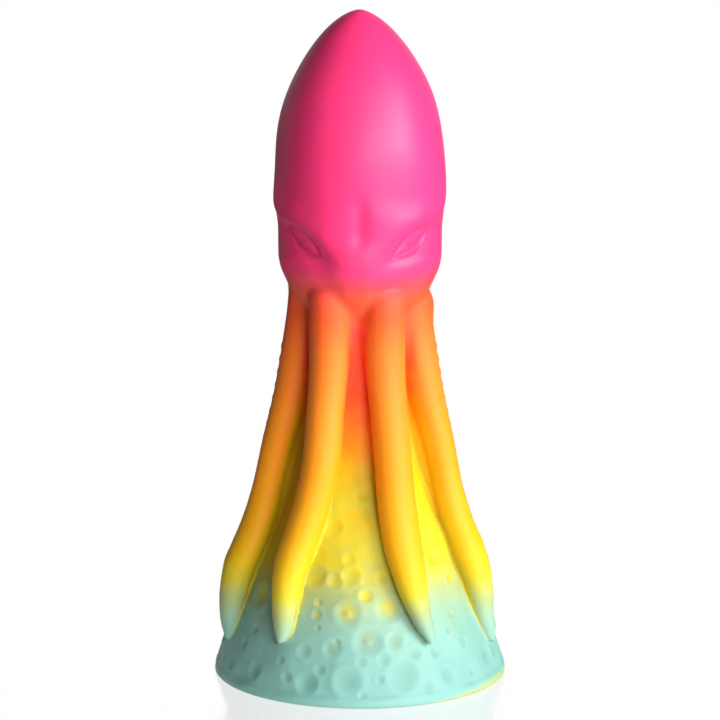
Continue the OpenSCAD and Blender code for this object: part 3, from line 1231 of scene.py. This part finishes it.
@dataclass
class SuckerRow:
    """A row of suckers down an arm's flank, set by geometry nodes on points of the skin."""

    arm: Arm
    flank: float
    size_mm: float = 1.75
    pitch: float = 3.9
    sunk: float = 0.38
    first: float = 0.14
    last: float = 0.82

    def spots(self, casting: Casting) -> tuple[Array, Array, Array]:
        """Where the suckers sit.

        Args:
            casting: The casting that they sit on.

        Returns:
            Points on the skin, the skin's normals and the suckers' radii, in millimetres.
        """
        length = self.arm.length * (self.last - self.first)
        count = int(length / self.pitch)
        share = self.first + (self.last - self.first) * np.arange(count) / count
        z = self.arm.size.neck_z - share * self.arm.length
        middle, spine, half = self.arm.section(z)
        across, out = half * math.sin(self.flank), spine + half * math.cos(self.flank)
        spot = np.stack([out * np.sin(middle) + across * np.cos(middle),
                         -out * np.cos(middle) + across * np.sin(middle), z], axis=1)
        for _ in range(3):
            slope = casting.gradient(spot)
            spot -= (casting.field(spot) / (slope**2).sum(1))[:, None] * slope
        slope = casting.gradient(spot, 0.5)
        slope /= np.linalg.norm(slope, axis=1)[:, None]
        return spot - self.sunk * slope, slope, self.size_mm * (1.0 - 0.3 * share) * half / 6.3

    def build(self, name: str, casting: Casting, tree: bpy.types.NodeTree,
              finish: bpy.types.Material) -> bpy.types.Object:
        """Makes the row as a plain mesh.

        Args:
            name: The piece's name.
            casting: The casting that it sits on.
            tree: The geometry node tree that shapes and places the suckers.
            finish: The row's material.

        Returns:
            The piece.
        """
        spot, way, radius = self.spots(casting)
        mesh = bpy.data.meshes.new(name + "_points")
        mesh.from_pydata((spot * MM).tolist(), [], [])
        facing = mesh.attributes.new("facing", "FLOAT_VECTOR", "POINT")
        facing.data.foreach_set("vector", way.astype(np.float32).ravel())
        size = mesh.attributes.new("radius_mm", "FLOAT", "POINT")
        size.data.foreach_set("value", radius.astype(np.float32))
        seed = add_object(name, mesh)
        nodes = seed.modifiers.new("suckers", "NODES")
        nodes.node_group = tree
        values = {"Ring width": 0.3, "Cup lift": 0.1, "Segments": 20, "Finish": finish}
        for item in tree.interface.items_tree:
            if item.in_out == "INPUT" and item.name in values:
                nodes[item.identifier] = values[item.name]
        seed.update_tag()
        bpy.context.view_layer.update()
        graph = bpy.context.evaluated_depsgraph_get()
        plain = bpy.data.meshes.new_from_object(seed.evaluated_get(graph), depsgraph=graph)
        seed.modifiers.clear()
        seed.data = plain
        plain.name = name
        return seed


def sucker_tree() -> bpy.types.NodeTree:
    """Geometry nodes: a soft ring round a shallow cup, set on every point and turned to face outwards.

    Returns:
        The node tree.
    """
    tree, w, given, result = open_group(
        "sucker_rows",
        {"Geometry": (Socket.SHAPE, None), "Ring width": (Socket.VALUE, 0.3), "Cup lift": (Socket.VALUE, 0.1),
         "Segments": (Socket.COUNT, 20), "Finish": (Socket.MATERIAL, None)},
        {"Geometry": Socket.SHAPE},
        "GeometryNodeTree",
    )
    width, sides = given.outputs["Ring width"], given.outputs["Segments"]
    inside = w.maths("SUBTRACT", 1.0, width)
    loop = w.add("GeometryNodeCurvePrimitiveCircle", {"Resolution": sides, "Radius": inside})
    section = w.add("GeometryNodeCurvePrimitiveCircle", {"Resolution": 10, "Radius": width})
    ring = w.add("GeometryNodeCurveToMesh", {
        "Curve": loop.outputs["Curve"], "Profile Curve": section.outputs["Curve"],
    })
    cup = w.add("GeometryNodeMeshUVSphere", {"Segments": sides, "Rings": 8, "Radius": 1.0})
    flat = w.add("ShaderNodeCombineXYZ", {"X": inside, "Y": inside, "Z": given.outputs["Cup lift"]})
    lens = w.add("GeometryNodeTransform", {"Geometry": cup.outputs["Mesh"], "Scale": flat.outputs[0]})
    both = w.add("GeometryNodeJoinGeometry")
    w.link(ring.outputs["Mesh"], both.inputs[0])
    w.link(lens.outputs["Geometry"], both.inputs[0])
    facing = w.add("GeometryNodeInputNamedAttribute", {"Name": "facing"}, data_type="FLOAT_VECTOR")
    radius = w.add("GeometryNodeInputNamedAttribute", {"Name": "radius_mm"}, data_type="FLOAT")
    turned = w.add("FunctionNodeAlignEulerToVector", {"Vector": facing.outputs["Attribute"]}, axis="Z")
    placed = w.add("GeometryNodeInstanceOnPoints", {
        "Points": given.outputs["Geometry"], "Instance": both.outputs[0],
        "Rotation": turned.outputs["Rotation"], "Scale": w.maths("MULTIPLY", radius.outputs["Attribute"], MM),
    })
    plain = w.add("GeometryNodeRealizeInstances", {"Geometry": placed.outputs["Instances"]})
    soft = w.add("GeometryNodeSetShadeSmooth", {"Geometry": plain.outputs["Geometry"]})
    dressed = w.add("GeometryNodeSetMaterial", {
        "Geometry": soft.outputs["Geometry"], "Material": given.outputs["Finish"],
    })
    w.link(dressed.outputs["Geometry"], result.inputs["Geometry"])
    return tree


# ---------------------------------------------------------------- studio


@dataclass(frozen=True)
class Softbox:
    """A rectangular studio light that points at the figure."""

    name: str
    place: tuple[float, float, float]
    width: float
    height: float
    watts: float
    target: tuple[float, float, float] = (0.0, 0.0, 0.1)

    def build(self) -> None:
        """Adds the light."""
        data = bpy.data.lights.new(self.name, "AREA")
        data.shape, data.size, data.size_y, data.energy = "RECTANGLE", self.width, self.height, self.watts
        lamp = add_object(self.name, data)
        lamp.location = self.place
        aim = Vector(self.target) - Vector(self.place)
        lamp.rotation_euler = aim.to_track_quat("-Z", "Y").to_euler()


@dataclass(frozen=True)
class Studio:
    """The white table, the lights and the camera."""

    camera_back: float = 1.1
    camera_up: float = 0.322
    look_down: float = 11.5
    lens: float = 182.0
    room_light: float = 0.065
    table_near: float = 1.15
    table_far: float = 0.08
    table_gloss: float = 0.25
    table_half: float = 6.0

    def build(self) -> None:
        """Adds everything that isn't the figure."""
        self.table()
        self.sky()
        for box in (
            Softbox("key", (0.95, -0.68, 0.42), 0.6, 0.5, 21.5),
            Softbox("front", (0.5, -1.36, 0.45), 0.7, 0.5, 17.5),
            Softbox("rim", (-0.8, 0.6, 0.25), 0.2, 0.7, 0.4),
        ):
            box.build()
        self.camera()

    def table(self) -> None:
        """A large table top, lit from below so that it stays white, with a slight gloss."""
        made = bpy.data.materials.new("white_table")
        w = bare_tree(made)
        path = w.add("ShaderNodeLightPath")
        place = w.add("ShaderNodeTexCoord")
        away = w.add("ShaderNodeVectorMath", {0: place.outputs["Object"]}, operation="LENGTH")
        near = w.remap({
            "Value": away.outputs["Value"], "From Min": 0.06, "From Max": 0.3, "To Min": self.table_near,
            "To Max": self.table_far,
        }, "SMOOTHSTEP")
        level = w.remap({"Value": path.outputs["Is Camera Ray"], "To Min": near, "To Max": 1.0})
        glow = w.add("ShaderNodeEmission", {"Color": WHITE, "Strength": level})
        shine = w.add("ShaderNodeBsdfGlossy", {"Color": WHITE, "Roughness": 0.16})
        both = w.add("ShaderNodeMixShader", {0: self.table_gloss, 1: glow.outputs[0], 2: shine.outputs[0]})
        end = w.add("ShaderNodeOutputMaterial")
        w.link(both.outputs[0], end.inputs["Surface"])
        mesh = bpy.data.meshes.new("table_top")
        r = self.table_half
        mesh.from_pydata([(-r, -r, 0), (r, -r, 0), (r, r, 0), (-r, r, 0)], [], [(0, 1, 2, 3)])
        mesh.materials.append(made)
        add_object("table_top", mesh)

    def sky(self) -> None:
        """A white room for the eye and for reflections, dimmer as a light."""
        world = bpy.data.worlds.new("white_room")
        w = bare_tree(world)
        path = w.add("ShaderNodeLightPath")
        way = w.add("ShaderNodeTexCoord")
        split = w.add("ShaderNodeSeparateXYZ", {0: way.outputs["Generated"]})
        behind = w.remap({"Value": split.outputs["Y"], "From Min": 0.72, "From Max": 0.93}, "SMOOTHSTEP")
        wall = w.maths("MULTIPLY", path.outputs["Is Glossy Ray"], behind)
        seen = w.maths("MAXIMUM", path.outputs["Is Camera Ray"], wall)
        level = w.remap({"Value": seen, "To Min": self.room_light, "To Max": 1.0})
        back = w.add("ShaderNodeBackground", {"Color": WHITE, "Strength": level})
        end = w.add("ShaderNodeOutputWorld")
        w.link(back.outputs[0], end.inputs["Surface"])
        bpy.context.scene.world = world

    def camera(self) -> None:
        """The camera, level with the figure's head and looking slightly down."""
        data = bpy.data.cameras.new("camera")
        data.lens, data.sensor_width = self.lens, 36.0
        data.clip_end = 50.0
        eye = add_object("camera", data)
        eye.location = (0.0, -self.camera_back, self.camera_up)
        eye.rotation_euler = (math.radians(90.0 - self.look_down), 0.0, 0.0)
        bpy.context.scene.camera = eye


# ---------------------------------------------------------------- the figure


@dataclass
class Figure:
    """The whole figure: the casting's pieces and the suckers on its arms."""

    casting: Casting
    finishes: dict[Slot, bpy.types.Material]

    def build(self) -> list[bpy.types.Object]:
        """Makes, dresses and places every piece.

        Returns:
            The pieces.
        """
        corners, faces = self.casting.surface()
        LOG.info("skin: %d corners, %d faces", len(corners), len(faces))
        middle = corners[faces].mean(axis=1)
        owner = np.argmin(self.casting.claims(middle), axis=0)
        corners = self.casting.settle_borders(corners, faces, owner)
        slope = self.casting.gradient(corners)
        normals = slope / np.maximum(np.linalg.norm(slope, axis=1), 1e-9)[:, None]
        a, b, c = (corners[faces[:, k]] for k in (0, 1, 2))
        if np.median((np.cross(b - a, c - b) * normals[faces[:, 0]]).sum(1)) < 0.0:
            faces = faces[:, ::-1]
        # The depth of the rock's pits goes along too, as painted shade that darkens their colour.
        tints = {"pour_lag": self.casting.lag(corners), "pit_shade": self.casting.pit_shade(corners)}
        pieces = []
        for index, name in enumerate(self.casting.names):
            own = faces[owner == index]
            piece = closed_patch(name + "_skin", corners, normals, own, tints, self.casting.wall)
            pieces.append(self.dress(piece, name))
        return pieces + self.suckers()

    def suckers(self) -> list[bpy.types.Object]:
        """Makes the rows of suckers on the side, rear and back arms.

        Returns:
            The rows.
        """
        arms = {arm.name: arm for arm in self.casting.arms}
        tree = sucker_tree()
        rows = []
        for place, flank in SUCKER_FLANKS.items():
            node = "suckers_" + place
            row = SuckerRow(arms["arm_" + place], math.radians(flank))
            piece = row.build(node + "_row", self.casting, tree, self.finishes[Slot.ARM])
            rows.append(self.dress(piece, node))
        return rows

    def dress(self, piece: bpy.types.Object, node: str) -> bpy.types.Object:
        """Gives a piece its finish and its place in the frame.

        Args:
            piece: The piece.
            node: The CAD node that it stands for.

        Returns:
            The piece.
        """
        slot = Slot.of(node)
        piece.data.materials.clear()
        piece.data.materials.append(self.finishes[slot])
        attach(piece, "root")
        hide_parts(node)
        LOG.info("%s: %d faces", piece.name, len(piece.data.polygons))
        return piece


def main() -> None:
    """Builds the studio and the figure."""
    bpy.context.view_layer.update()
    bpy.context.scene.view_settings.view_transform = "Standard"
    Studio().build()
    colours, grain = PourColours.build(), SiliconeGrain.build()
    roughness = {Slot.PINK: 0.45, Slot.ORANGE: 0.6, Slot.ARM: 0.62, Slot.AQUA: 0.55}
    finishes = {
        slot: Silicone(slot.value, gloss).material(colours, grain) for slot, gloss in roughness.items()
    }
    casting = Casting(Frame.read())
    Figure(casting, finishes).build()


if __name__ == "__main__":
    main()
